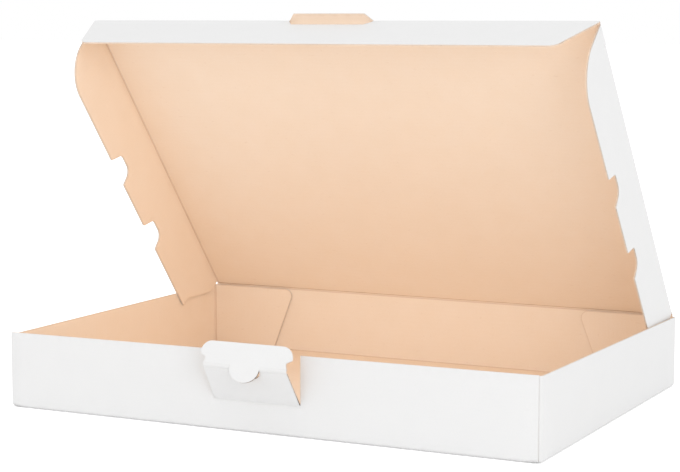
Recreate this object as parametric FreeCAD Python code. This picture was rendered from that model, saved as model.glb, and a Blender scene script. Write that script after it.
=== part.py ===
import FreeCAD, Part
import math
import os

# A shallow die-cut mailer box of thin corrugated board: white outside, plain kraft inside.
# Origin at the middle of the underside, +X to the right along the front, +Y to the back,
# +Z up, millimetres. Every leaf is drawn where it lies in the shut box, and then turned
# about its own crease to stand as the box does when it is left open.

# --- driving dimensions --------------------------------------------------------------
WIDTH = 350.0            # outside, along the front
DEPTH = 250.0            # outside, front to back
HEIGHT = 47.5            # outside, to the top of the front wall
BOARD = 1.5              # thickness of the board
BEND = 0.6               # inside radius of a folded wall
CREASE_GAP = 1.27        # from a moving crease's line to the middle of each rounded lip
EDGE_INSET = 2.8         # front and back walls stop this far short of the corners
LID_SEAT = 0.4           # clearance between the side walls and the shut lid

CORNER_FLAP_TOP = 66.0   # glued flaps inside the corners: length along the top edge
CORNER_FLAP_SLANT = 21.0  # their free ends lean in towards the floor, degrees
CORNER_FLAP_ROUND = 5.0

LID_SIDE_GAP = 2.5       # lid's sides inside the tray's outside faces
LID_LENGTH = 246.2       # back wall's outside face to the front fold's outside face
LID_EDGE_ROUND = 1.3
SLOT_TAB_HALF = 28.5     # tongue of the lid that runs on past its front fold
SLOT_TAB_OUT = 5.3
SLOT_TAB_ROUND = 4.5
CUT_GAP = 0.4            # width of a die cut between two leaves

SIDE_FLAP_DROP = 45.0    # lid's outside face to the flap's free edge
SIDE_FLAP_REAR = 5.5     # flap's rear end from the back wall's outside face
SIDE_FLAP_FRONT = 243.0
SIDE_FLAP_NOSE = 25.0    # radius of the front corner
SIDE_FLAP_HEEL = 17.0    # how far the rear end is cut back at the free edge
NOTCHES = (91.3, 152.2)  # middles of the two hooked notches, from the back
NOTCH_LENGTH = 22.5
NOTCH_DEPTH = 11.0

FRONT_CREASE_GAP = 1.42  # wider, because this crease folds past square
FRONT_FLAP_REACH = 39.3  # front crease to the free edge
FRONT_FLAP_HALF = 171.0
FRONT_FLAP_TAPER = 0.32  # how fast each end runs in, per millimetre of reach
FRONT_FLAP_ROUND = 6.0

WINDOW_HALF = 28.5       # window that the lock leaves in the front wall
TONGUE_HINGE_Z = 18.5
TAB_CREASE_Z = 44.85     # crease between the tongue and its tab when the tongue is flush
TAB_REACH = 14.5
TAB_NECK_HALF = 26.4     # between the hooks, where the lid's front flap passes
TAB_NECK_FROM = 2.3
TAB_NECK_TO = 5.0
TAB_HOOK_HALF = 30.0
TAB_ROUND = 7.0
MOON_RADIUS = 9.7        # half-moon finger pull, cut out of the tongue

LID_OPEN = 51.0          # the open box: turn of each leaf from where it lies when shut
FRONT_FOLD = 71.0        # front flap, from flat with the lid
TONGUE_LEAN = 34.0       # tongue, from flush with the wall
TAB_BEND = 53.0          # tab, from straight with the tongue

# --- dimensions that follow ----------------------------------------------------------
HALF_W, HALF_D, HALF_T = WIDTH / 2, DEPTH / 2, BOARD / 2
SIDE_Z = HEIGHT - BOARD - LID_SEAT
LID_HALF = HALF_W - LID_SIDE_GAP
LIP = CREASE_GAP - HALF_T               # a moving crease's line to a lip's crown
FRONT_LIP = FRONT_CREASE_GAP - HALF_T
HINGE_Y, HINGE_Z = HALF_D - HALF_T, HEIGHT - HALF_T
FOLD_Y = HALF_D - LID_LENGTH + HALF_T   # front flap's crease, lid shut
WALL_Y = -HALF_D + HALF_T               # middle of the front wall
X, Y, Z = FreeCAD.Vector(1, 0, 0), FreeCAD.Vector(0, 1, 0), FreeCAD.Vector(0, 0, 1)


def outline(corners):
    """Closed wire through (point, radius) corners, with an arc at each that has a radius."""
    edges, ends = [], []
    for i, (point, radius) in enumerate(corners):
        back = (corners[i - 1][0] - point).normalize()
        on = (corners[(i + 1) % len(corners)][0] - point).normalize()
        if radius:
            half = back.getAngle(on) / 2
            reach = radius / math.tan(half)
            middle = (back + on).normalize() * (radius / math.sin(half) - radius)
            start, end = point + back * reach, point + on * reach
            edges.append(Part.Arc(start, point + middle, end).toShape())
        else:
            start = end = point
        ends.append((start, end))
    for i, (start, end) in enumerate(ends):
        after = ends[(i + 1) % len(ends)][0]
        if end.distanceToPoint(after) > 1e-6:
            edges.append(Part.makeLine(end, after))
    return Part.Wire(Part.__sortEdges__(edges))


def profile(axis, at, corners):
    """Flat face square to an axis, from (first, second, radius) corners."""
    place = {
        "X": lambda u, v: FreeCAD.Vector(at, u, v),
        "Y": lambda u, v: FreeCAD.Vector(u, at, v),
        "Z": lambda u, v: FreeCAD.Vector(u, v, at),
    }[axis]
    return Part.Face(outline([(place(u, v), r) for u, v, r in corners]))


def sheet_lip(axis, along, low, high, crossing):
    """Board between two moving creases: a strip whose two ends are rounded lips."""
    (start, length), (c0, c1) = along, crossing
    corners = [(low, c0, HALF_T), (high, c0, HALF_T), (high, c1, HALF_T), (low, c1, HALF_T)]
    return profile(axis, start, corners).extrude({"X": X, "Y": Y}[axis] * length)


def mirrored(corners):
    """Corners of a symmetric outline: those given, and the same across the middle."""
    return corners + [(-u, v, r) for u, v, r in reversed(corners)]


# --- tray: base, four walls and the glued corner flaps, one folded sheet --------------
def make_tray():
    wall_half = HALF_W - EDGE_INSET
    outer = BEND + BOARD
    hinge_lip = HINGE_Z - LIP
    strip = profile("X", -wall_half, [
        (-HALF_D, HEIGHT, 0), (-HALF_D, 0, outer), (HALF_D, 0, outer),
        (HALF_D, hinge_lip, HALF_T), (HALF_D - BOARD, hinge_lip, HALF_T),
        (HALF_D - BOARD, BOARD, BEND), (-HALF_D + BOARD, BOARD, BEND),
        (-HALF_D + BOARD, HEIGHT, 0),
    ]).extrude(X * 2 * wall_half)

    side_end = HALF_D - BOARD - outer      # straight part of a side wall
    cross = profile("Y", -side_end, [
        (-HALF_W, SIDE_Z, 0), (-HALF_W, 0, outer), (HALF_W, 0, outer),
        (HALF_W, SIDE_Z, 0), (HALF_W - BOARD, SIDE_Z, 0),
        (HALF_W - BOARD, BOARD, BEND), (-HALF_W + BOARD, BOARD, BEND),
        (-HALF_W + BOARD, SIDE_Z, 0),
    ]).extrude(Y * 2 * side_end)

    # side wall, round the corner, and along the inside of the front or back wall
    foot = outer
    tall = SIDE_Z - foot
    inner_y = HALF_D - BOARD
    tip = HALF_W - BOARD - CORNER_FLAP_TOP
    bracket = profile("Z", foot, [
        (HALF_W, side_end, 0), (HALF_W, inner_y, outer), (tip, inner_y, 0),
        (tip, inner_y - BOARD, 0), (HALF_W - BOARD, inner_y - BOARD, BEND),
        (HALF_W - BOARD, side_end, 0),
    ]).extrude(Z * tall)
    lean = tall * math.tan(math.radians(CORNER_FLAP_SLANT))
    trim = profile("Y", side_end, [
        (tip, SIDE_Z, CORNER_FLAP_ROUND), (tip + lean, foot, 0),
        (HALF_W + BOARD, foot, 0), (HALF_W + BOARD, SIDE_Z, 0),
    ]).extrude(Y * (2 * outer))
    bracket = bracket.common(trim)
    across, behind = bracket.mirror(Z * 0, X), bracket.mirror(Z * 0, Y)
    corners = [bracket, across, behind, across.mirror(Z * 0, Y)]
    tray = strip.multiFuse([cross] + corners)

    # window for the lock, its sill a rounded lip under the tongue's crease
    sill = TONGUE_HINGE_Z - LIP
    window = Part.makeBox(
        2 * WINDOW_HALF, 3 * BOARD, HEIGHT,
        FreeCAD.Vector(-WINDOW_HALF, -HALF_D - BOARD, sill - HALF_T))
    lip = sheet_lip("X", (-WINDOW_HALF, 2 * WINDOW_HALF), -HALF_D, -HALF_D + BOARD,
                    (sill - 2 * BOARD, sill))
    return tray.cut(window).fuse(lip).removeSplitter()


# --- lid panel with the slot tab -----------------------------------------------------
def slot_tab_outline(grow):
    """The slot tab from above, grown by the die cut where it is the slot that it leaves."""
    root = FOLD_Y + 3 * BOARD
    tip = FOLD_Y - HALF_T - SLOT_TAB_OUT - grow
    half = SLOT_TAB_HALF + grow
    return profile("Z", HEIGHT - BOARD, mirrored([(half, root, 0), (half, tip, SLOT_TAB_ROUND)]))


def make_lid():
    rear, front = HINGE_Y - LIP, FOLD_Y + FRONT_LIP
    lengthwise = sheet_lip("X", (-LID_HALF, 2 * LID_HALF), front, rear,
                           (HEIGHT - BOARD, HEIGHT))
    crosswise = profile("Y", front, [
        (-LID_HALF, HEIGHT - BOARD, 0), (LID_HALF, HEIGHT - BOARD, 0),
        (LID_HALF, HEIGHT, LID_EDGE_ROUND), (-LID_HALF, HEIGHT, LID_EDGE_ROUND),
    ]).extrude(Y * (rear - front))
    panel = lengthwise.common(crosswise)
    return panel.fuse(slot_tab_outline(0).extrude(Z * BOARD)).removeSplitter()


# --- dust flaps at the lid's sides ---------------------------------------------------
FLAP_AXIS_X = LID_HALF - BOARD - CUT_GAP / 2     # right flap's crease line, lid shut
FLAP_AXIS_Z = HEIGHT - BOARD - CUT_GAP / 2


def make_side_flap():
    """Right-hand flap: hooked notches in the free edge, round nose, cut-back heel."""
    edge = HEIGHT - SIDE_FLAP_DROP
    heel, nose = HALF_D - SIDE_FLAP_REAR, HALF_D - SIDE_FLAP_FRONT
    top = FLAP_AXIS_Z - CUT_GAP / 2
    corners = [(heel, top, 0), (heel, top - SIDE_FLAP_DROP / 4, SIDE_FLAP_NOSE / 2),
               (heel - SIDE_FLAP_HEEL, edge + NOTCH_DEPTH * 0.7, NOTCH_DEPTH / 2),
               (heel - SIDE_FLAP_HEEL, edge, BOARD)]
    for middle in NOTCHES:
        y, half, roof = HALF_D - middle, NOTCH_LENGTH / 2, edge + NOTCH_DEPTH
        corners += [(y + half, edge, BOARD / 2),
                    (y + 0.78 * half, roof, 0.6 * NOTCH_DEPTH),
                    (y - 0.5 * half, roof, 0.4 * NOTCH_DEPTH),
                    (y - half, edge, BOARD / 2)]
    corners += [(nose, edge, SIDE_FLAP_NOSE), (nose, top, 0)]
    return profile("X", LID_HALF - BOARD, corners).extrude(X * BOARD)


# --- front flap, with the slot that the lock tab enters ------------------------------
def make_front_flap():
    """Drawn flat, straight on from the lid's front fold."""
    root, tip = FOLD_Y - FRONT_LIP, FOLD_Y - FRONT_FLAP_REACH
    strip = sheet_lip("X", (-FRONT_FLAP_HALF, 2 * FRONT_FLAP_HALF), tip - BOARD, root,
                      (HEIGHT - BOARD, HEIGHT))
    tip_half = FRONT_FLAP_HALF - FRONT_FLAP_TAPER * FRONT_FLAP_REACH
    shape = profile("Z", HEIGHT - BOARD, mirrored([
        (FRONT_FLAP_HALF, root, 0), (tip_half, tip, FRONT_FLAP_ROUND),
    ])).extrude(Z * BOARD)
    slot = slot_tab_outline(CUT_GAP).extrude(Z * BOARD)
    return strip.common(shape).cut(slot).removeSplitter()


# --- slot lock in the front wall: tongue, tab and half-moon ---------------------------
def make_tongue():
    """Drawn flush in the wall, with the half-moon's hole at its top crease."""
    half = WINDOW_HALF - CUT_GAP
    tongue = sheet_lip("X", (-half, 2 * half), -HALF_D, -HALF_D + BOARD,
                       (TONGUE_HINGE_Z + LIP, TAB_CREASE_Z - LIP))
    hole = Part.makeCylinder(MOON_RADIUS + CUT_GAP, 3 * BOARD,
                             FreeCAD.Vector(0, -HALF_D - BOARD, TAB_CREASE_Z), Y)
    return tongue.cut(hole)


def make_lock_tab():
    """Drawn straight up from the tongue: necked, hooked, and carrying the half-moon."""
    root, tip = TAB_CREASE_Z + LIP, TAB_CREASE_Z + TAB_REACH
    strip = profile("X", -TAB_HOOK_HALF, [
        (-HALF_D, root, HALF_T), (-HALF_D + BOARD, root, HALF_T),
        (-HALF_D + BOARD, tip, 0), (-HALF_D, tip, 0),
    ]).extrude(X * 2 * TAB_HOOK_HALF)
    neck_from, neck_to = TAB_CREASE_Z + TAB_NECK_FROM, TAB_CREASE_Z + TAB_NECK_TO
    shape = profile("Y", -HALF_D, mirrored([
        (WINDOW_HALF - 2 * CUT_GAP, root, 0), (WINDOW_HALF - 2 * CUT_GAP, neck_from, 0),
        (TAB_NECK_HALF, neck_from + HALF_T, 0), (TAB_NECK_HALF, neck_to, 0),
        (TAB_HOOK_HALF, neck_to + BOARD, BOARD), (TAB_HOOK_HALF, tip, TAB_ROUND),
    ])).extrude(Y * BOARD)
    disc = Part.makeCylinder(MOON_RADIUS, BOARD, FreeCAD.Vector(0, -HALF_D, TAB_CREASE_Z), Y)
    below = Part.makeBox(2 * MOON_RADIUS, BOARD, MOON_RADIUS + 2 * BOARD,
                         FreeCAD.Vector(-MOON_RADIUS, -HALF_D, TAB_CREASE_Z - MOON_RADIUS))
    moon = disc.common(below)
    return strip.common(shape).fuse(moon).removeSplitter()


# --- stand the leaves as the open box has them ---------------------------------------
def turn(shape, y, z, degrees):
    """The shape turned about a crease that runs along X."""
    turned = shape.copy()
    turned.rotate(FreeCAD.Vector(0, y, z), X, degrees)
    return turned


def opened(shape):
    return turn(shape, HINGE_Y, HINGE_Z, -LID_OPEN)


right_flap = make_side_flap()
tab_bent = turn(make_lock_tab(), WALL_Y, TAB_CREASE_Z, -TAB_BEND)
nodes = {
    "tray": make_tray(),
    "lid": opened(make_lid()),
    "right_flap": opened(right_flap),
    "left_flap": opened(right_flap.mirror(Z * 0, X)),
    "front_flap": opened(turn(make_front_flap(), FOLD_Y, HINGE_Z, FRONT_FOLD)),
    "lock_tongue": turn(make_tongue(), WALL_Y, TONGUE_HINGE_Z, TONGUE_LEAN),
    "lock_tab": turn(tab_bent, WALL_Y, TONGUE_HINGE_Z, TONGUE_LEAN),
}

os.makedirs("parts", exist_ok=True)
for name, shape in nodes.items():
    solid = shape.Solids[0] if len(shape.Solids) == 1 else shape
    solid.exportStep("parts/%s.step" % name)
    box = solid.BoundBox
    print("%-12s %d solid, valid %s, %.1f x %.1f x %.1f mm, %.0f mm3" % (
        name, len(shape.Solids), solid.isValid(), box.XLength, box.YLength, box.ZLength,
        solid.Volume))
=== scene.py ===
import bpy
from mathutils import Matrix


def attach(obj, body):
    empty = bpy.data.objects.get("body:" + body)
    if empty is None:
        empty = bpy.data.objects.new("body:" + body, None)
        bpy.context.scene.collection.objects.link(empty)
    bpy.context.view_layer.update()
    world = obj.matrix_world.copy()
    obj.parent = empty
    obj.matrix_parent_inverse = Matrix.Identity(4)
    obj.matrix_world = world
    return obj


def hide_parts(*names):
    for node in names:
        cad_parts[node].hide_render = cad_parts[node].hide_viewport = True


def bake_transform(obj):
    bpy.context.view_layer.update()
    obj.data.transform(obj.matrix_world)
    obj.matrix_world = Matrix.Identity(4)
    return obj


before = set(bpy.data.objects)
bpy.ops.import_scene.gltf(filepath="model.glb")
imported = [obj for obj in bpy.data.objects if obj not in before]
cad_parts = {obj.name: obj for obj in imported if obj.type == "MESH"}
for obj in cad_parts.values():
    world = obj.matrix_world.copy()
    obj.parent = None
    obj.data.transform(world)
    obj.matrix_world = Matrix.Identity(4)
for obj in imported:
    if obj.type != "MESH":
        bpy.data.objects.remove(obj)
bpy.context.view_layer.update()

import math

import bmesh
import bpy
import numpy as np
from mathutils import Quaternion, Vector, geometry


# --- Tray -----------------------------------------------------------------------------
# Base, four walls and four corner flaps of one die-cut sheet of fluted board, white paper
# outside and kraft inside. The walls are folded up from the base, and the side walls'
# corner flaps are folded round and glued to the inside of the front and back walls.
MM = 0.001               # in metres; the box's own sizes are in millimetres
BOARD = 1.5              # both liners and the fluting between them
LINER = 0.22             # paper of each face
MEDIUM = 0.16            # paper of the wavy medium
FLUTE = 3.2              # one wave of the medium, and the waves run along X
CUT_DEPTH = 0.5          # how deep the open flutes are modelled at a cut edge
SHUT_DEPTH = 0.02        # and where the white liner is rolled over them
MEDIUM_FROM, MEDIUM_PAST = 0.03, 0.04       # the medium starts inside the cut and ends past CUT_DEPTH
EDGE, EDGE_CRUSH = 0.8, 0.16        # a cutting rule squeezes each face of the board near its edge
EDGE_BRUISE = 0.55
SAME, MERGE, ON_ROW = 1e-6, 1e-5, 1e-4      # distances that count as none
WAVE_POINTS = 8          # points of a cut edge to each wave of the medium
NEAREST, FURTHEST = 0.06, 6         # between points along an outline
MITRE = 0.6              # keeps a step inwards short at a sharp corner
RING_ROOM, GRID_ROOM = 0.8, 0.3     # inner points keep this share of EDGE, or this much past it, from a cut
ONTO_FOLD = 0.18         # points this near to a line of a bend are moved onto it
WHITE, KRAFT, CUT = 0, 1, 2         # material slots of every sheet


def rounded(corners, step=0.45):
    """Outline through (a, c, radius) corners, in millimetres on the flat sheet."""
    points = []
    for i, (a, c, radius) in enumerate(corners):
        here = np.array([a, c], float)
        if not radius:
            points.append(here)
            continue
        back = np.array(corners[i - 1][:2], float) - here
        on = np.array(corners[(i + 1) % len(corners)][:2], float) - here
        back /= np.linalg.norm(back)
        on /= np.linalg.norm(on)
        half = math.acos(np.clip(back @ on, -1, 1)) / 2
        middle = back + on
        centre = here + middle / np.linalg.norm(middle) * radius / math.sin(half)
        start = here + back * radius / math.tan(half) - centre
        turn = math.pi - 2 * half
        if back[0] * on[1] - back[1] * on[0] > 0:
            turn = -turn
        count = max(3, math.ceil(abs(turn) * radius / step))
        for k in range(count + 1):
            cos, sin = math.cos(turn * k / count), math.sin(turn * k / count)
            points.append(centre + [start[0] * cos - start[1] * sin, start[0] * sin + start[1] * cos])
    return np.array([p for p, before in zip(points, points[-1:] + points)
                     if np.linalg.norm(p - before) > SAME])


def mirrored(corners):
    """Corners with a above 0, and the same ones across the middle."""
    return corners + [(-a, c, r) for a, c, r in reversed(corners)]


def spread(low, high, step):
    return list(np.linspace(low, high, max(2, math.ceil((high - low) / step) + 1)))


def eased(t):
    t = np.clip(t, 0, 1)
    return t * t * (3 - 2 * t)


def sampled(loop, rows_a, rows_c):
    """A closed outline with points where the rows cross it, and enough to draw each wave."""
    points = []
    for p, q in zip(loop, np.roll(loop, -1, axis=0)):
        d = q - p
        cuts = [0.0, 1.0]
        for k, rows in ((0, rows_a), (1, rows_c)):
            if abs(d[k]) > SAME:
                cuts += [t for t in (np.array(rows) - p[k]) / d[k] if 0 < t < 1]
        length = np.linalg.norm(d)
        kept = []
        for t in sorted(cuts):
            if not kept or (t - kept[-1]) * length > NEAREST:
                kept.append(t)
        if (1 - kept[-1]) * length < NEAREST and len(kept) > 1:
            kept.pop()
        kept.append(1.0)
        for t0, t1 in zip(kept, kept[1:]):
            part = np.abs(d * (t1 - t0))
            count = max(1, math.ceil(part[1] / (FLUTE / WAVE_POINTS)), math.ceil(part[0] / FURTHEST))
            points += [p + d * (t0 + (t1 - t0) * k / count) for k in range(count)]
    return np.array(points)


def inside(points, loops):
    """Which points lie in the sheet, by how many outline edges a line to one side crosses."""
    hit = np.zeros(len(points), bool)
    for loop in loops:
        for p, q in zip(loop, np.roll(loop, -1, axis=0)):
            if p[1] == q[1]:
                continue
            crossing = (p[1] > points[:, 1]) != (q[1] > points[:, 1])
            at = p[0] + (points[:, 1] - p[1]) * (q[0] - p[0]) / (q[1] - p[1])
            hit ^= crossing & (points[:, 0] < at)
    return hit


def gap_to(points, loops):
    """Distance from each point to the nearest outline edge."""
    nearest = np.full(len(points), np.inf)
    for loop in loops:
        for p, q in zip(loop, np.roll(loop, -1, axis=0)):
            d = q - p
            t = np.clip(((points - p) @ d) / (d @ d), 0, 1)
            nearest = np.minimum(nearest, np.linalg.norm(points - p - t[:, None] * d, axis=1))
    return nearest


def signed_area(loop):
    after = np.roll(loop, -1, axis=0)
    return float((loop[:, 0] * after[:, 1] - after[:, 0] * loop[:, 1]).sum()) / 2


def inward(loop):
    """At each point, the mitred step into the board for an outline with the board on its left."""
    ahead = np.roll(loop, -1, axis=0) - loop
    ahead /= np.linalg.norm(ahead, axis=1)[:, None]
    left = np.stack([-ahead[:, 1], ahead[:, 0]], axis=1)
    both = left + np.roll(left, 1, axis=0)
    both /= np.linalg.norm(both, axis=1)[:, None]
    reach = 1 / np.maximum((both * left).sum(axis=1), MITRE)
    return both * reach[:, None]


def fold_links(flat, loops, folds):
    """Links between neighbours along each fold's rows, so that no face cuts across a bend."""
    links = []
    for k in (0, 1):
        for fold in folds[k]:
            row = np.flatnonzero(np.abs(flat[:, k] - fold) < SAME)
            row = row[np.argsort(flat[row, 1 - k])]
            if len(row) > 1:
                middles = (flat[row[1:]] + flat[row[:-1]]) / 2
                held = inside(middles, loops) & (gap_to(middles, loops) > ON_ROW)
                links += [(int(p), int(q)) for p, q, ok in zip(row, row[1:], held) if ok]
    return links


def triangles(rims, loops, rows_a, rows_c, folds):
    """Triangles over a flat sheet that keep its rims and folds: their points, their faces,
    and the number that each rim point has among the points."""
    ring = np.concatenate([rim + inward(rim) * EDGE for rim in rims])[::2]
    ring = ring[inside(ring, loops)]
    ring = ring[gap_to(ring, loops) > RING_ROOM * EDGE]
    for k in (0, 1):
        for fold in folds[k]:
            ring[np.abs(ring[:, k] - fold) < ONTO_FOLD, k] = fold
    grid = np.array([(a, c) for a in rows_a for c in rows_c])
    grid = grid[inside(grid, loops)]
    grid = grid[gap_to(grid, loops) > EDGE + GRID_ROOM]
    flat = np.concatenate(rims + [ring, grid])
    links, first = [], 0
    for rim in rims:
        links += [(first + i, first + (i + 1) % len(rim)) for i in range(len(rim))]
        first += len(rim)
    links += fold_links(flat, loops, folds)
    verts, _, faces, origin, _, _ = geometry.delaunay_2d_cdt([Vector(p) for p in flat], links, [], 0, MERGE)
    flat = np.array([tuple(v) for v in verts])
    number = {old: new for new, olds in enumerate(origin) for old in olds}
    faces = np.array([tuple(f) for f in faces])
    faces = faces[inside(flat[faces].mean(axis=1), loops)]
    return flat, faces, np.array([number[i] for i in range(first)])


def turned_over(place, a, c):
    """Whether the sheet, once placed, shows its faces clockwise from outside at (a, c)."""
    nudge = 1e-3
    steps = np.array([[a, c, 0], [a + nudge, c, 0], [a, c + nudge, 0], [a, c, nudge]])
    here, along, across, above = place(*steps.T)
    return np.cross(along - here, across - here) @ (above - here) < 0


def cut_rails(rim, top, low, shut):
    """Flat places and heights of eight rails along a cut edge: four round the space between
    the liners, and four round the medium that waves in it."""
    step = inward(rim)
    deep = rim + step * np.where(shut, SHUT_DEPTH, CUT_DEPTH)[:, None]
    lip, sunk = rim + step * MEDIUM_FROM, rim + step * (CUT_DEPTH + MEDIUM_PAST)
    wave = np.sin(2 * math.pi * rim[:, 1] / FLUTE)
    middle = (top + low) / 2 + wave * ((top - low - MEDIUM) / 2)
    over, under = middle + MEDIUM / 2, middle - MEDIUM / 2
    return [(rim, top), (deep, top), (deep, low), (rim, low),
            (lip, over), (lip, under), (sunk, under), (sunk, over)]


def paper_piece(name, points, chart, bruise_and_shade, polygons, slots, on_liners):
    """A piece of the three papers, smooth on its liners, which are its first on_liners faces."""
    mesh = bpy.data.meshes.new(name)
    mesh.from_pydata(points.tolist(), [], polygons)
    mesh.polygons.foreach_set("material_index", slots)
    mesh.polygons.foreach_set("use_smooth", [k < on_liners for k in range(len(slots))])
    mesh.attributes.new("pressed_and_shaded", "FLOAT", "POINT").data.foreach_set("value", bruise_and_shade.astype(np.float32))
    corners = np.zeros(len(mesh.loops), np.int32)
    mesh.loops.foreach_get("vertex_index", corners)
    on_sheet = (chart[corners] * MM).astype(np.float32)
    mesh.uv_layers.new(name="sheet").uv.foreach_set("vector", on_sheet.ravel())
    edit = bmesh.new()
    edit.from_mesh(mesh)
    for edge in edit.edges:
        kinds = {(face.material_index, face.smooth) for face in edge.link_faces}
        if len(kinds) > 1:
            edge.smooth = False
    bmesh.ops.delete(edit, geom=[v for v in edit.verts if not v.link_faces], context="VERTS")
    edit.to_mesh(mesh)
    edit.free()
    mesh.update()
    piece = bpy.data.objects.new(name, mesh)
    bpy.context.scene.collection.objects.link(piece)
    for finish in (white_liner, kraft_liner, cut_edge):
        mesh.materials.append(finish)
    return piece


def board(name, outer, rows_a, rows_c, place, thin=None, pressed_and_shaded=None, cut_shade=None,
          rolled=None, folds=((), ()), joined=((), ())):
    """A leaf of fluted board cut to flat outlines, with open flutes at its cut edges.
    place(a, c, w) folds points of the flat sheet into the box; w is their height from the
    middle of the board, positive outside. thin(a, c) gives (outside, inside) score depths,
    pressed_and_shaded(a, c) darkens the liners, up to 1 where a crease is darkest, as crushed
    paper and painted shade, and cut_shade(a, c) gives painted shade on cut edges that light
    hardly reaches. rolled(a, c) says where the knife has rolled the white liner over the cut.
    folds and joined are the (a rows, c rows) that lie in a bend, and those where the sheet
    goes on as another leaf."""
    def scores(flat):
        return thin(*flat.T) if thin else (np.zeros(len(flat)), np.zeros(len(flat)))

    loops = [loop if signed_area(loop) > 0 else loop[::-1] for loop in outer]
    rims = [sampled(loop, rows_a, rows_c) for loop in loops]
    flat, faces, numbers = triangles(rims, loops, rows_a, rows_c, folds)
    squeezed = []
    for rim in rims:
        cut_here = np.ones(len(rim), bool)
        for k in (0, 1):
            for row in joined[k]:
                cut_here &= np.abs(rim[:, k] - row) > ON_ROW
        squeezed.append(EDGE_CRUSH * cut_here)
    half, count = BOARD / 2, len(flat)
    crush = np.zeros(count)
    crush[numbers] = np.concatenate(squeezed)
    score_out, score_in = scores(flat)
    points = [place(*flat.T, half - (score_out + crush)), place(*flat.T, -half + (score_in + crush))]
    charts = [flat, flat]
    order = -1 if turned_over(place, *flat[faces[0]].mean(axis=0)) else 1
    polygons = faces[:, ::order].tolist() + (faces[:, ::-order] + count).tolist()
    slots = [WHITE] * len(faces) + [KRAFT] * len(faces)

    total, first = 2 * count, 0
    for rim, squeeze in zip(rims, squeezed):
        size = len(rim)
        own = numbers[first:first + size]
        first += size
        ahead = (np.arange(size) + 1) % size
        score_out, score_in = scores(rim)
        top, low = half - score_out - squeeze - LINER, -half + score_in + squeeze + LINER
        shut = rolled(*rim.T) if rolled else np.zeros(size, bool)
        rails = cut_rails(rim, top, low, shut)
        points += [place(*rail.T, height) for rail, height in rails]
        charts += [rail for rail, _ in rails]
        at = [total + k * size + np.arange(size) for k in range(len(rails))]
        total += size * len(rails)
        white = shut & shut[ahead]
        gap = [own, at[0], at[1], at[2], at[3], own + count]
        for u, v, slot in zip(gap, gap[1:], (WHITE, CUT, CUT, CUT, KRAFT)):
            band = np.stack([u, v, v[ahead], u[ahead]], axis=1)
            polygons += band[:, ::order].tolist()
            slots += np.where(white, WHITE, slot).tolist()
        medium = [at[4], at[5], at[6], at[7], at[4]]
        for u, v in zip(medium, medium[1:]):
            band = np.stack([u, v, v[ahead], u[ahead]], axis=1)[~white]
            polygons += band[:, ::order].tolist()
            slots += [CUT] * len(band)

    chart = np.concatenate(charts)
    bruise_and_shade = np.zeros(len(chart))
    bruise_and_shade[:2 * count] = EDGE_BRUISE * np.tile(crush, 2) / EDGE_CRUSH
    if pressed_and_shaded:
        bruise_and_shade[:2 * count] = np.maximum(bruise_and_shade[:2 * count], pressed_and_shaded(*chart[:2 * count].T))
    # Painted shade on the cut edges.
    if cut_shade:
        bruise_and_shade[2 * count:] = cut_shade(*chart[2 * count:].T)
    return paper_piece(name, np.concatenate(points) * MM, chart, bruise_and_shade, polygons, slots, 2 * len(faces))


def paper_group():
    """Fibre streaks, cloudy patches and a few specks, as fine and as large as paper's."""
    group = bpy.data.node_groups.new("paper fibres", "ShaderNodeTree")
    face = group.interface
    face.new_socket("Fibre", in_out="INPUT", socket_type="NodeSocketFloat").default_value = 2600
    face.new_socket("Cloud", in_out="INPUT", socket_type="NodeSocketFloat").default_value = 60
    for name in ("Fibres", "Clouds", "Specks"):
        face.new_socket(name, in_out="OUTPUT", socket_type="NodeSocketFloat")
    nodes, links = group.nodes, group.links
    inlet, outlet = nodes.new("NodeGroupInput"), nodes.new("NodeGroupOutput")
    where = nodes.new("ShaderNodeTexCoord")
    stretch = nodes.new("ShaderNodeMapping")
    stretch.inputs["Scale"].default_value = (0.35, 1.0, 0.6)
    fibre = nodes.new("ShaderNodeTexNoise")
    fibre.inputs["Detail"].default_value = 3
    fibre.inputs["Roughness"].default_value = 0.65
    cloud = nodes.new("ShaderNodeTexNoise")
    cloud.inputs["Detail"].default_value = 4
    cloud.inputs["Roughness"].default_value = 0.55
    speck = nodes.new("ShaderNodeTexNoise")
    speck.inputs["Scale"].default_value = 900
    speck.inputs["Detail"].default_value = 1
    few = nodes.new("ShaderNodeMapRange")
    few.inputs["From Min"].default_value = 0.71
    few.inputs["From Max"].default_value = 0.78
    links.new(where.outputs["Object"], stretch.inputs["Vector"])
    links.new(stretch.outputs["Vector"], fibre.inputs["Vector"])
    links.new(where.outputs["Object"], cloud.inputs["Vector"])
    links.new(stretch.outputs["Vector"], speck.inputs["Vector"])
    links.new(inlet.outputs["Fibre"], fibre.inputs["Scale"])
    links.new(inlet.outputs["Cloud"], cloud.inputs["Scale"])
    links.new(speck.outputs["Fac"], few.inputs["Value"])
    links.new(fibre.outputs["Fac"], outlet.inputs["Fibres"])
    links.new(cloud.outputs["Fac"], outlet.inputs["Clouds"])
    links.new(few.outputs["Result"], outlet.inputs["Specks"])
    return group


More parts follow.
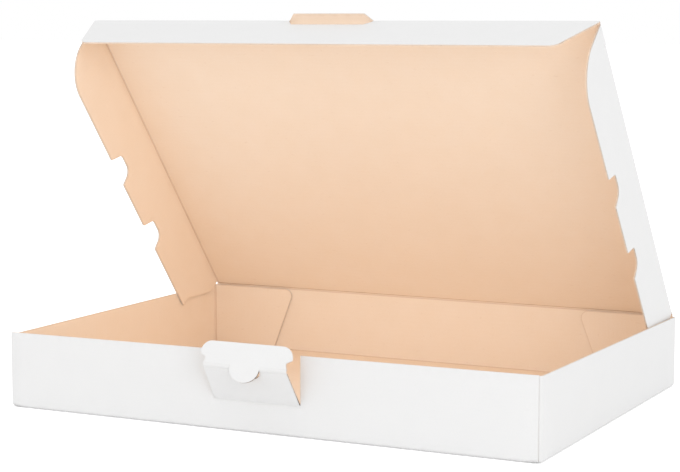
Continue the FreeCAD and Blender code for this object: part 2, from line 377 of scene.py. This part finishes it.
def flute_group():
    """The faint washboard of the fluting under a liner, along X on the flat sheet."""
    group = bpy.data.node_groups.new("flute show-through", "ShaderNodeTree")
    face = group.interface
    face.new_socket("Pitch", in_out="INPUT", socket_type="NodeSocketFloat").default_value = FLUTE * MM
    face.new_socket("Wave", in_out="OUTPUT", socket_type="NodeSocketFloat")
    nodes, links = group.nodes, group.links
    inlet, outlet = nodes.new("NodeGroupInput"), nodes.new("NodeGroupOutput")
    chart = nodes.new("ShaderNodeUVMap")
    chart.uv_map = "sheet"
    split = nodes.new("ShaderNodeSeparateXYZ")
    ratio = nodes.new("ShaderNodeMath")
    ratio.operation = "DIVIDE"
    turn = nodes.new("ShaderNodeMath")
    turn.operation = "MULTIPLY"
    turn.inputs[1].default_value = 2 * math.pi
    wave = nodes.new("ShaderNodeMath")
    wave.operation = "SINE"
    level = nodes.new("ShaderNodeMapRange")
    level.inputs["From Min"].default_value = -1
    links.new(chart.outputs["UV"], split.inputs["Vector"])
    links.new(split.outputs["Y"], ratio.inputs[0])
    links.new(inlet.outputs["Pitch"], ratio.inputs[1])
    links.new(ratio.outputs["Value"], turn.inputs[0])
    links.new(turn.outputs["Value"], wave.inputs[0])
    links.new(wave.outputs["Value"], level.inputs["Value"])
    links.new(level.outputs["Result"], outlet.inputs["Wave"])
    return group


fibres, flutes = paper_group(), flute_group()
FIBRE_SHARE, CLOUD_SHARE, SPECK_WEAR = 0.6, 0.4, 0.12       # of a paper's colour
FIBRE_RELIEF, WASHBOARD_RELIEF = 0.5, 4     # of its height, and for each part of washboard
DARK_FROM, DARK_TO = 0.3, 0.7       # of the noise, where a paper has its light and its dark colour
COLOUR_A, COLOUR_B, COLOUR_OUT = 6, 7, 2    # a Mix node's sockets for colours


def paper(name, light, dark, wear_and_shade_colour, roughness, relief, washboard, bruise_and_shade):
    """Paper between two colours by its fibres and clouds, with a washboard. Specks take the
    worn colour as wear; creases take it as crushed paper and painted shade, and narrow cuts
    and the slot tab take it as painted shade."""
    material = bpy.data.materials.new(name)
    material.use_nodes = True
    nodes, links = material.node_tree.nodes, material.node_tree.links
    shader = nodes["Principled BSDF"]
    shader.inputs["Roughness"].default_value = roughness
    shader.inputs["Specular IOR Level"].default_value = 0.2
    grain, ridge = nodes.new("ShaderNodeGroup"), nodes.new("ShaderNodeGroup")
    grain.node_tree, ridge.node_tree = fibres, flutes

    def maths(operation, first, second):
        node = nodes.new("ShaderNodeMath")
        node.operation = operation
        for socket, value in zip(node.inputs, (first, second)):
            if isinstance(value, (int, float)):
                socket.default_value = value
            else:
                links.new(value, socket)
        return node.outputs["Value"]

    def mixed(share, first, second):
        node = nodes.new("ShaderNodeMix")
        node.data_type = "RGBA"
        links.new(share, node.inputs["Factor"])
        for socket, value in ((node.inputs[COLOUR_A], first), (node.inputs[COLOUR_B], second)):
            if isinstance(value, tuple):
                socket.default_value = (*value, 1)
            else:
                links.new(value, socket)
        return node.outputs[COLOUR_OUT]

    share = maths("ADD", maths("MULTIPLY", grain.outputs["Fibres"], FIBRE_SHARE),
                  maths("MULTIPLY", grain.outputs["Clouds"], CLOUD_SHARE))
    share = maths("ADD", share, maths("MULTIPLY", ridge.outputs["Wave"], washboard))
    darkness = nodes.new("ShaderNodeMapRange")
    darkness.inputs["From Min"].default_value = DARK_FROM
    darkness.inputs["From Max"].default_value = DARK_TO
    links.new(share, darkness.inputs["Value"])
    colour = mixed(darkness.outputs["Result"], light, dark)
    pressed_and_shaded = nodes.new("ShaderNodeAttribute")
    pressed_and_shaded.attribute_name = "pressed_and_shaded"
    wear_and_shade = maths("MAXIMUM", maths("MULTIPLY", grain.outputs["Specks"], SPECK_WEAR),
                 maths("MULTIPLY", pressed_and_shaded.outputs["Fac"], bruise_and_shade))
    colour = mixed(wear_and_shade, colour, wear_and_shade_colour)
    links.new(colour, shader.inputs["Base Color"])
    bump = nodes.new("ShaderNodeBump")
    bump.inputs["Distance"].default_value = relief * MM
    height = maths("ADD", maths("MULTIPLY", grain.outputs["Fibres"], FIBRE_RELIEF),
                   maths("MULTIPLY", ridge.outputs["Wave"], washboard * WASHBOARD_RELIEF))
    links.new(height, bump.inputs["Height"])
    links.new(bump.outputs["Normal"], shader.inputs["Normal"])
    return material


white_liner = paper("white liner", light=(0.78, 0.78, 0.78), dark=(0.76, 0.76, 0.76),
                    wear_and_shade_colour=(0.70, 0.69, 0.68), roughness=0.5, relief=0.05, washboard=0.02, bruise_and_shade=0.3)
kraft_liner = paper("kraft liner", light=(0.98, 0.825, 0.685), dark=(0.955, 0.785, 0.625),
                    wear_and_shade_colour=(0.66, 0.44, 0.30), roughness=0.7, relief=0.07, washboard=0.04, bruise_and_shade=0.75)
# The cut board's worn colour is near black: it is the painted shade of narrow cuts, and its specks take it
# too.
cut_edge = paper("cut board", light=(0.92, 0.81, 0.71), dark=(0.83, 0.70, 0.59),
                 wear_and_shade_colour=(0.13, 0.10, 0.09), roughness=0.85, relief=0.12, washboard=0.0, bruise_and_shade=0.9)

TRAY_X, TRAY_Y = 175.0, 125.0
WALL_TOP, SIDE_TOP = 47.5, 45.6
LEFT_RISE, RIGHT_RISE = -0.9, 2.4   # of the side walls' tops towards the front
FOLD_RADIUS = 1.35       # of the middle of the board, round a wall's fold
FOOT = BOARD / 2 + FOLD_RADIUS              # height where a wall becomes upright
FOLD_LENGTH = FOLD_RADIUS * math.pi / 2
FOLD_X, FOLD_Y = TRAY_X - FOOT, TRAY_Y - FOOT
CORNER_Y = TRAY_Y - BOARD - FOOT            # where a side wall turns into its corner flap
WALL_END, SLIT = 172.9, 0.3         # front and back walls end in a slit beside the corner flaps
END_CRUSH, END_LENGTH = 0.55, 1.6   # the knife rolls the white liner down over a wall's end
NEARLY = 0.1             # how near to a line of the sheet still counts as on it
FRONT_RACK = 1.0         # the box stands a little twisted, so its front wall runs up to the right
CREASE = 1.5             # half the width of board that a moving crease bends
HINGE_Z = 46.75          # crease between the back wall and the lid
TONGUE_Z = 18.5          # crease of the lock tongue in the front wall
WINDOW_X = 28.5
CORNER_TIP_X = 107.5     # free end of a corner flap at its top
CORNER_SLANT = 21.0
CORNER_ROUND = 5.0
BRUISE_AND_SHADE_WIDTH = 0.4       # of a crease's darkened line on the liners: crushed paper and painted shade
BEND_STEPS = 6           # flat faces round a wall's fold
TOP_ROWS = (-4, -2, -0.5, 1)        # from a side wall's top, where it rises towards the front


def folded(along, off, start):
    """(outward, up) across a wall's fold, for board that lies flat up to start."""
    over = along - start
    angle = np.clip(over / FOLD_RADIUS, 0, math.pi / 2)
    straight = np.clip(over - FOLD_LENGTH, 0, None)
    reach = FOLD_RADIUS + off
    out = np.minimum(along, start) + reach * np.sin(angle)
    return out, FOOT - reach * np.cos(angle) + straight


def place_tray(a, c, w):
    side, end = np.abs(a), np.abs(c)
    a_out, a_up = folded(side, w, FOLD_X)
    c_out, c_up = folded(end, w, FOLD_Y)
    on_side = side > WALL_END + SLIT / 2
    over = end - CORNER_Y
    angle = np.clip(over / FOLD_RADIUS, 0, math.pi / 2)
    straight = np.clip(over - FOLD_LENGTH, 0, None)
    reach = a_out - FOLD_X
    x = np.where(on_side, FOLD_X + reach * np.cos(angle) - straight, side)
    y = np.where(on_side, np.minimum(end, CORNER_Y) + reach * np.sin(angle), c_out)
    z = np.where(on_side, a_up, c_up)
    return np.stack([np.sign(a) * x, np.sign(c) * y, z], axis=1)


def up_wall(z):
    """Distance from a wall's fold start to height z, along the flat sheet."""
    return FOLD_LENGTH + z - FOOT


def crease_bruise_and_shade(columns, rows, width):
    """How dark a crease's line is painted, for creases at the given a and c of a sheet: partly paper that
    the creasing rule crushed, partly painted shade in the crease.
    """
    def share(a, c):
        press = [np.exp(-((a - at) / width) ** 2) for at in columns]
        press += [np.exp(-((c - at) / width) ** 2) for at in rows]
        return np.max(press, axis=0)
    return share


side_top = FOLD_X + up_wall(SIDE_TOP)
front_top = FOLD_Y + up_wall(WALL_TOP)
back_top = FOLD_Y + up_wall(HINGE_Z - CREASE)
flap_foot = FOLD_X + FOLD_LENGTH
flap_tip = CORNER_Y + FOLD_LENGTH + FOLD_X - CORNER_TIP_X
flap_lean = (SIDE_TOP - FOOT) * math.tan(math.radians(CORNER_SLANT))
window_foot = FOLD_Y + up_wall(TONGUE_Z - CREASE)


def tray_corner(end):
    """Half outline of the sheet at one end, from the side wall's top to the end wall's."""
    return [(side_top, flap_tip, CORNER_ROUND), (flap_foot, flap_tip - flap_lean, 0),
            (flap_foot, CORNER_Y + FOLD_LENGTH, 0), (WALL_END + SLIT, CORNER_Y + FOLD_LENGTH, 0),
            (WALL_END + SLIT, CORNER_Y, 0), (WALL_END, CORNER_Y, 0), (WALL_END, end, 0)]


back = mirrored([(side_top, CORNER_Y, 0)] + tray_corner(back_top))
front = [(a, -c - (FRONT_RACK * a / TRAY_X if c == front_top else 0), r) for a, c, r in mirrored(
    [(side_top, CORNER_Y + FOLD_LENGTH / 2, 0)] + tray_corner(front_top)
    + [(WINDOW_X, front_top, 0), (WINDOW_X, window_foot, 0)])]
front[0] = (side_top + RIGHT_RISE, *front[0][1:])
front[-1] = (-side_top - LEFT_RISE, *front[-1][1:])


def end_crush(a, c):
    """Score depths that roll the outside down at the ends of the front and back walls."""
    over = eased((np.abs(a) - WALL_END + END_LENGTH) / END_LENGTH)
    here = (np.abs(a) < WALL_END + NEARLY) & (np.abs(c) > CORNER_Y - NEARLY)
    return END_CRUSH * over * here, np.zeros(len(a))


def wall_ends(a, c):
    """The front and back walls' ends, and the slits that part them from the corner flaps."""
    return (np.abs(np.abs(a) - WALL_END - SLIT / 2) < SLIT) & (np.abs(c) > CORNER_Y - NEARLY)


bend = [k / BEND_STEPS * FOLD_LENGTH for k in range(BEND_STEPS + 1)]
side_rows = (spread(0, FOLD_X - 1, step=9)[1:] + [FOLD_X + t for t in bend]
             + spread(flap_foot, side_top, step=9)[1:-1] + [side_top + t for t in TOP_ROWS])
end_rows = (spread(0, CORNER_Y, step=9)[1:] + [CORNER_Y + t for t in bend[1:]] + [FOLD_Y + t for t in bend]
            + spread(FOLD_Y + FOLD_LENGTH, flap_tip, step=8)[1:-1])
rows_a = sorted([-t for t in side_rows] + [0] + side_rows)
rows_c = sorted([-t for t in end_rows] + [0] + end_rows)
folds_a = [side * (FOLD_X + t) for side in (-1, 1) for t in bend]
folds_c = [side * (start + t) for side in (-1, 1) for start in (CORNER_Y, FOLD_Y) for t in bend]
marks_a = [side * (FOLD_X + FOLD_LENGTH / 2) for side in (-1, 1)]
marks_c = [side * (start + FOLD_LENGTH / 2) for side in (-1, 1) for start in (CORNER_Y, FOLD_Y)]
# The folds' middle lines are darkened as crushed paper and painted shade.
tray = board("tray_sheet", [rounded(back + front[::-1])], rows_a, rows_c, place_tray, thin=end_crush,
             pressed_and_shaded=crease_bruise_and_shade(marks_a, marks_c, BRUISE_AND_SHADE_WIDTH), rolled=wall_ends,
             folds=(folds_a, folds_c), joined=((), (back_top, -window_foot)))
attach(tray, "tray")
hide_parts("tray")


# --- Lid ------------------------------------------------------------------------------
# The same sheet, creased along the top of the back wall and laid back to stand open.
# A short tab runs straight on past its front fold, cut out of the front flap.
HINGE_Y = 124.25
LID_BEND = 39.0          # the sheet's bend from the back wall into the open lid, degrees
LID_LENGTH = 244.7       # back crease to front crease
LID_SIDE = 172.2
SIDE_CREASE_X = 170.8
SIDE_FLAP_FROM = 1.7     # along the lid, from its back crease
SIDE_CREASE = 0.7        # half the width of board that a side flap's crease bends
SLOT_TAB_X, SLOT_TAB_TIP_X, SLOT_TAB_FOOT, SLOT_TAB_OUT = 28.5, 24.2, 0.6, 6.05
SLOT_ROUND, SLOT_TIP_ROUND = 0.6, 0.9
SCORE_OUT, SCORE_IN, SCORE_WIDTH = 0.10, 0.28, 0.75
BEAD, BEAD_AT, BEAD_WIDTH = 0.35, -0.75, 0.45     # ridge that the hinge crease raises inside
# where the hinge's darkened line lies, and how much painted shade the slot tab takes and from where
HINGE_BRUISE_AND_SHADE_AT, TAB_SHADE, TAB_SHADE_FROM = 0.25, 0.22, -0.5


def scored(at):
    """Score depths outside and inside where the creasing rule pressed the board at each place in at."""
    def depths(a, c):
        press = sum(np.exp(-((c - place) / SCORE_WIDTH) ** 2) for place in at)
        return SCORE_OUT * press, SCORE_IN * press
    return depths


def turned(along, off, angle):
    """(along, off) across a crease, turned by angle towards the inside of the sheet."""
    return (along * np.cos(angle) + off * np.sin(angle),
            off * np.cos(angle) - along * np.sin(angle))


def part_bent(s, half_width):
    """How much of a crease's whole bend the sheet has made at s from its middle, 0 to 1."""
    return eased((s + half_width) / (2 * half_width))


def place_lid(a, s, w):
    up, back = turned(s, w, math.radians(LID_BEND) * part_bent(s, CREASE))
    return np.stack([a, HINGE_Y + back, HINGE_Z + up], axis=1)


def on_lid(x, s, w):
    """Place of a point on the open lid's own axes: s from the back crease, w above its middle."""
    up, back = turned(s, w, math.radians(LID_BEND))
    return np.stack([x, HINGE_Y + back, HINGE_Z + up], axis=1)


def lid_bruise_and_shade(a, c):
    """Crushed paper and painted shade along the hinge, and painted shade all over the tab that the knife
    cuts out of the front flap.
    """
    hinge = crease_bruise_and_shade([], [HINGE_BRUISE_AND_SHADE_AT], BRUISE_AND_SHADE_WIDTH)(a, c)
    return np.maximum(hinge, TAB_SHADE * (c > LID_LENGTH + TAB_SHADE_FROM))


def hinge_score(a, c):
    outside, inside = scored([0])(a, c)
    return outside, inside - BEAD * np.exp(-((c - BEAD_AT) / BEAD_WIDTH) ** 2)


def lid_ends(a, c):
    return np.abs(a) > LID_SIDE - NEARLY


lid_end = LID_LENGTH - CREASE
edge_x = SIDE_CREASE_X - SIDE_CREASE
lid_outline = rounded(mirrored([
    (LID_SIDE, -CREASE, 0), (LID_SIDE, SIDE_FLAP_FROM, 0), (edge_x, SIDE_FLAP_FROM, 0),
    (edge_x, lid_end, 0), (SLOT_TAB_X, lid_end, 0), (SLOT_TAB_X, LID_LENGTH + SLOT_TAB_FOOT, SLOT_ROUND),
    (SLOT_TAB_TIP_X, LID_LENGTH + SLOT_TAB_OUT, SLOT_TIP_ROUND)]))
crease_rows = spread(-CREASE, CREASE, step=0.15)
lid_rows = crease_rows + spread(CREASE, LID_LENGTH + SLOT_TAB_OUT - 2, step=9)[1:]
lid = board("lid_sheet", [lid_outline], spread(-165, 165, step=9), lid_rows, place_lid, thin=hinge_score,
            pressed_and_shaded=lid_bruise_and_shade, rolled=lid_ends, folds=((), crease_rows),
            joined=((-edge_x, edge_x), (-CREASE, lid_end)))
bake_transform(lid)
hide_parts("lid")


# --- Side flaps -----------------------------------------------------------------------
# Dust flaps folded down from the lid's sides, which slide in beside the side walls. Each
# has two hooked notches in its free edge, a round nose in front and a cut-back heel.
PIVOT_DROP = 0.95        # the crease turns about the inner liner
SPRING_BACK = 1.1        # degrees that the crease stays short of a right angle
SIDE_FLAP_TO = 243.2     # along the lid, from its back crease
FLAP_HEIGHT = 43.3
HEEL_FROM = 2.6          # the heel starts at the lid's crease and steps back from it
HEEL_TOP, HEEL_LOW = 0.35, 11.45    # down the flap, where the heel's upright part starts and ends
NOSE, HEEL, HEEL_ROUND = 25.0, 21.75, 12.5
HEEL_RISE = 0.7          # from the free edge up to the heel's slant, in depths of a notch
NOTCHES, NOTCH_LENGTH, NOTCH_DEPTH = (90.55, 151.45), 22.5, 11.0
NOTCH_REAR, NOTCH_FRONT = 0.78, 0.5         # how far its floor reaches, in halves of its length
NOTCH_REAR_ROUND, NOTCH_FRONT_ROUND = 0.6, 0.4      # of its depth
FLAP_SCORE = 0.4         # of the depth that the lid's other creases have
# how dark the flap's crease line is, as crushed paper and painted shade, where it lies and how wide it is
FLAP_BRUISE_AND_SHADE, FLAP_BRUISE_AND_SHADE_AT, FLAP_BRUISE_AND_SHADE_WIDTH = 0.5, 0.1, 0.3


def side_flap_outline():
    low, rise = FLAP_HEIGHT, NOTCH_DEPTH
    corners = [(-SIDE_CREASE, SIDE_FLAP_FROM, 0), (0, SIDE_FLAP_FROM, 0), (HEEL_TOP, HEEL_FROM, 0),
               (HEEL_LOW, HEEL_FROM, HEEL_ROUND), (low - HEEL_RISE * rise, HEEL, rise / 2),
               (low, HEEL, BOARD)]
    for middle in NOTCHES:
        half = NOTCH_LENGTH / 2
        corners += [(low, middle - half, BOARD / 2),
                    (low - rise, middle - NOTCH_REAR * half, NOTCH_REAR_ROUND * rise),
                    (low - rise, middle + NOTCH_FRONT * half, NOTCH_FRONT_ROUND * rise),
                    (low, middle + half, BOARD / 2)]
    return rounded(corners + [(low, SIDE_FLAP_TO, NOSE), (-SIDE_CREASE, SIDE_FLAP_TO, 0)])


def flap_score(a, c):
    press = np.exp(-(a / SCORE_WIDTH) ** 2)
    return FLAP_SCORE * SCORE_OUT * press, FLAP_SCORE * SCORE_IN * press


# The flap's crease line: crushed paper and painted shade.
def flap_bruise_and_shade(a, c):
    return FLAP_BRUISE_AND_SHADE * np.exp(-((a - FLAP_BRUISE_AND_SHADE_AT) / FLAP_BRUISE_AND_SHADE_WIDTH) ** 2)


def side_flap(name, node, side):
    def place_flap(a, c, w):
        angle = math.radians(90 - SPRING_BACK) * part_bent(a, SIDE_CREASE)
        out, above = turned(a, w + PIVOT_DROP, angle)
        return on_lid(side * (SIDE_CREASE_X + out), c, above - PIVOT_DROP)

    bends = spread(-SIDE_CREASE, SIDE_CREASE, step=0.14)
    rows = bends + spread(SIDE_CREASE, FLAP_HEIGHT, step=6)[1:-1]
    flap = board(name, [side_flap_outline()], rows, spread(6, 240, step=7), place_flap, thin=flap_score,
                 pressed_and_shaded=flap_bruise_and_shade, folds=(bends, ()), joined=((-SIDE_CREASE,), ()))
    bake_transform(flap)
    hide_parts(node)


side_flap("left_dust_flap", "left_flap", -1)
side_flap("right_dust_flap", "right_flap", 1)


# --- Front flap -----------------------------------------------------------------------
# The lid's tuck-in flap, creased at the lid's front edge and notched round the slot tab,
# which leaves a slot for the lock tab.
FRONT_BEND = 71.0        # degrees down from the lid
FRONT_REACH, FRONT_X, FRONT_TAPER, FRONT_ROUND = 39.3, 171.8, 0.34, 6.0
CUT_GAP = 0.4            # width of a die cut between two leaves


def place_front(a, s, w):
    along, above = turned(s, w, math.radians(FRONT_BEND) * part_bent(s, CREASE))
    return on_lid(a, LID_LENGTH + along, above)


def crease_ends(place):
    """Where a bending strip starts and ends, in metres, half-way along its crease."""
    return [place(np.zeros(1), np.array([s]), np.zeros(1))[0] * MM for s in (-CREASE, CREASE)]


front_outline = rounded(mirrored([
    (SLOT_TAB_TIP_X + CUT_GAP, SLOT_TAB_OUT + CUT_GAP, SLOT_TIP_ROUND),
    (SLOT_TAB_X + CUT_GAP, SLOT_TAB_FOOT, SLOT_ROUND), (SLOT_TAB_X + CUT_GAP, -CREASE, 0),
    (FRONT_X, -CREASE, 0), (FRONT_X, CREASE, 0),
    (FRONT_X - FRONT_TAPER * FRONT_REACH, FRONT_REACH, FRONT_ROUND)]))
front_flap = board("front_tuck_flap", [front_outline], spread(-168, 168, step=9),
                   crease_rows + spread(CREASE, FRONT_REACH - 1, step=6)[1:], place_front,
                   thin=scored([0]), pressed_and_shaded=crease_bruise_and_shade([], [0], BRUISE_AND_SHADE_WIDTH), folds=((), crease_rows),
                   joined=((), (-CREASE,)))
ends = crease_ends(place_front)
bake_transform(front_flap)
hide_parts("front_flap")


# --- Lock tongue ----------------------------------------------------------------------
# A panel left standing in the front wall between two die cuts, creased at its foot and
# leaning out, with the hole that the half-moon leaves at its top.
TONGUE_LEAN = 34.0       # degrees out from the wall
WALL_Y = -124.25
TAB_CREASE = 26.35       # tongue's crease to the tab's
TONGUE_TOP_X = 27.2
FOOT_GAP = 0.02          # at the ends of the foot's crease
CUT_END = 0.4            # the side cuts stop this far above the foot's crease
MOON, MOON_REACH, MOON_GAP = 9.7, 8.3, 0.05
HOLE_POINTS = 20         # round half of the half-moon's hole
HOLE_MARGIN = 1.2        # how far past the hole its shade reaches, as a share of its area
# painted shade along the tongue's side cuts, more where they close up at its foot, and how high that
# reaches
SIDE_SHADE, FOOT_SHADE, SHADE_HEIGHT = 0.25, 0.65, 7.0


def place_tongue(a, s, w):
    up, out = turned(s, w, -math.radians(TONGUE_LEAN) * part_bent(s, CREASE))
    return np.stack([a, WALL_Y - out, TONGUE_Z + up], axis=1)


tongue_x, tongue_top = WINDOW_X - CUT_GAP, TAB_CREASE - CREASE
hole, hole_reach = MOON + MOON_GAP, MOON_REACH + MOON_GAP
sweep = math.acos(CREASE / hole_reach)


def round_hole(a, c):
    """Painted shade: 1 on the narrow cut round the half-moon, which light hardly reaches."""
    return ((a / hole) ** 2 + ((c - TAB_CREASE) / hole_reach) ** 2 < HOLE_MARGIN).astype(float)


def tongue_cut_shade(a, c):
    """Painted shade round the half-moon, along the tongue's side cuts, and most where they close up at its
    foot.
    """
    return np.maximum(round_hole(a, c), SIDE_SHADE + FOOT_SHADE * np.exp(-(c / SHADE_HEIGHT) ** 2))


tongue_side = [(WINDOW_X - FOOT_GAP, -CREASE, 0), (WINDOW_X - FOOT_GAP, CUT_END, 0),
               (tongue_x, CUT_END + CUT_GAP, 0), (TONGUE_TOP_X, tongue_top, 0)]
moon_hole = [(hole * math.sin(t), TAB_CREASE - hole_reach * math.cos(t), 0)
             for t in np.linspace(sweep, 0, HOLE_POINTS)]
tongue = board("lock_tongue_sheet", [rounded(mirrored(tongue_side + moon_hole))],
               spread(-26, 26, step=4), crease_rows + spread(CREASE, tongue_top, step=3)[1:],
               place_tongue, thin=scored([0]), pressed_and_shaded=crease_bruise_and_shade([], [0], BRUISE_AND_SHADE_WIDTH),
               cut_shade=tongue_cut_shade, folds=((), crease_rows), joined=((), (-CREASE, tongue_top)))
ends = crease_ends(place_tongue)
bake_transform(tongue)
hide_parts("lock_tongue")


# --- Lock tab -------------------------------------------------------------------------
# The tongue's end, bent back over the wall: a necked tab with two hooks, and the half-moon
# finger pull that stays flat with it. Two short creases join it to the tongue.
TAB_BEND = 53.0          # degrees back over the wall
TAB_REACH, NECK_X, HOOK_X = 14.5, 26.4, 30.0
NECK_FROM, NECK_TO, HOOK_FROM = 3.4, 5.0, 6.7     # up the tab from its crease
NECK_FOOT_ROUND, NECK_ROUND, HOOK_ROUND, TAB_ROUND = 0.8, 0.6, 1.5, 7.0
MOON_POINTS = 34         # round the half-moon


def place_tab(a, s, w, share=1.0):
    lean, back = math.radians(TONGUE_LEAN), math.radians(TAB_BEND)
    up, out = turned(s, w, back * share * np.ones_like(s))
    up, out = turned(up + TAB_CREASE, out, -lean)
    return np.stack([a, WALL_Y - out, TONGUE_Z + up], axis=1)


def place_tab_crease(a, s, w):
    return place_tab(a, s, w, part_bent(s, CREASE))


# Painted shade on the tab's cut round the half-moon.
def moon_cut_shade(a, s):
    return round_hole(a, s + TAB_CREASE)


half_moon = [(MOON * math.cos(t), -MOON_REACH * math.sin(t), 0)
             for t in np.linspace(0, math.pi, MOON_POINTS)]
half_tab = [(MOON, CREASE, 0), (TONGUE_TOP_X, CREASE, 0), (NECK_X, NECK_FROM, NECK_FOOT_ROUND),
            (NECK_X, NECK_TO, NECK_ROUND), (HOOK_X, HOOK_FROM, HOOK_ROUND),
            (HOOK_X, TAB_REACH, TAB_ROUND)]
tab_outline = rounded([(-a, c, r) for a, c, r in half_tab] + half_tab[::-1] + half_moon)
tab = board("lock_tab_sheet", [tab_outline], spread(-28, 28, step=4), spread(-9, 13, step=3), place_tab,
            cut_shade=moon_cut_shade, joined=((), (CREASE,)))
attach(tab, "lock_tab")
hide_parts("lock_tab")

strips = [rounded([(side * hole, -CREASE, 0), (side * TONGUE_TOP_X, -CREASE, 0),
                   (side * TONGUE_TOP_X, CREASE, 0), (side * hole, CREASE, 0)]) for side in (-1, 1)]
tab_crease = board("lock_tab_crease", strips, spread(-26, 26, step=4), crease_rows, place_tab_crease,
                   thin=scored([0]), pressed_and_shaded=crease_bruise_and_shade([], [0], BRUISE_AND_SHADE_WIDTH), folds=((), crease_rows),
                   joined=((), (-CREASE, CREASE)))
ends = crease_ends(place_tab_crease)
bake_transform(tab_crease)


# --- Floor, light and camera ----------------------------------------------------------
# A white studio: an even white room, three soft lamps over and beside the box's front, and
# a white floor that keeps its soft shadow. The camera looks down a little from the front right.
FLOOR_HALF, FLOOR_DROP = 20, 0.0002
FLOOR_WHITE, ROOM, FLOOR_LIFT = 0.97, 0.97, 0.4


def eye_or_gloss(nodes, links):
    """1 for rays that the camera or a gloss sends, which see a plain white background."""
    seen = nodes.new("ShaderNodeLightPath")
    either = nodes.new("ShaderNodeMath")
    either.operation = "MAXIMUM"
    links.new(seen.outputs["Is Camera Ray"], either.inputs[0])
    links.new(seen.outputs["Is Glossy Ray"], either.inputs[1])
    return either.outputs["Value"]


floor_mesh = bpy.data.meshes.new("floor")
floor_mesh.from_pydata([(x * FLOOR_HALF, y * FLOOR_HALF, -FLOOR_DROP)
                        for x, y in ((-1, -1), (1, -1), (1, 1), (-1, 1))], [], [(0, 1, 2, 3)])
floor = bpy.data.objects.new("floor", floor_mesh)
bpy.context.scene.collection.objects.link(floor)
floor_paint = bpy.data.materials.new("floor paint")
floor_paint.use_nodes = True
nodes, links = floor_paint.node_tree.nodes, floor_paint.node_tree.links
nodes.clear()
diffuse = nodes.new("ShaderNodeBsdfDiffuse")
diffuse.inputs["Color"].default_value = (FLOOR_WHITE, FLOOR_WHITE, FLOOR_WHITE, 1)
glow = nodes.new("ShaderNodeEmission")
lift = nodes.new("ShaderNodeMath")
lift.operation = "MULTIPLY"
lift.inputs[1].default_value = FLOOR_LIFT
total = nodes.new("ShaderNodeAddShader")
out = nodes.new("ShaderNodeOutputMaterial")
links.new(eye_or_gloss(nodes, links), lift.inputs[0])
links.new(lift.outputs["Value"], glow.inputs["Strength"])
links.new(diffuse.outputs["BSDF"], total.inputs[0])
links.new(glow.outputs["Emission"], total.inputs[1])
links.new(total.outputs["Shader"], out.inputs["Surface"])
floor_mesh.materials.append(floor_paint)

world = bpy.data.worlds.new("white room")
bpy.context.scene.world = world
world.use_nodes = True
nodes, links = world.node_tree.nodes, world.node_tree.links
backdrop = nodes["Background"]
backdrop.inputs["Color"].default_value = (1, 1, 1, 1)
room = nodes.new("ShaderNodeMapRange")
room.inputs["To Min"].default_value = ROOM
room.inputs["To Max"].default_value = 1.0
links.new(eye_or_gloss(nodes, links), room.inputs["Value"])
links.new(room.outputs["Result"], backdrop.inputs["Strength"])


def lamp(name, place, target, size, power):
    data = bpy.data.lights.new(name, "AREA")
    data.shape, data.size, data.energy = "DISK", size, power
    light = bpy.data.objects.new(name, data)
    light.location = place
    light.rotation_mode = "QUATERNION"
    light.rotation_quaternion = (Vector(target) - Vector(place)).to_track_quat("-Z", "Y")
    bpy.context.scene.collection.objects.link(light)


lamp("softbox over the front", (-0.5, -1.6, 2.2), target=(0, 0, 0.05), size=1.6, power=4.8)
lamp("softbox at the front left", (-1.8, -1.5, 0.5), target=(0, 0, 0.1), size=1.2, power=2.2)
lamp("softbox at the front right", (1.6, -1.5, 0.6), target=(0, 0, 0.1), size=1.2, power=7.6)

LENS, SENSOR = 99.18, 36.0          # a long lens, so that the box looks little tapered
YAW, PITCH, ROLL = math.radians(-25.80), math.radians(6.31), math.radians(-0.11)
camera_data = bpy.data.cameras.new("camera")
camera_data.sensor_width = SENSOR
camera_data.lens = LENS
camera_data.shift_x, camera_data.shift_y = -0.0449, -0.0070
camera = bpy.data.objects.new("camera", camera_data)
camera.location = (0.5223, -1.0547, 0.2355)
ahead = Vector((math.sin(YAW) * math.cos(PITCH), math.cos(YAW) * math.cos(PITCH), -math.sin(PITCH)))
camera.rotation_mode = "QUATERNION"
camera.rotation_quaternion = ahead.to_track_quat("-Z", "Y") @ Quaternion((0, 0, 1), -ROLL)
bpy.context.scene.collection.objects.link(camera)
bpy.context.scene.camera = camera
bpy.context.scene.view_settings.view_transform = "Standard"
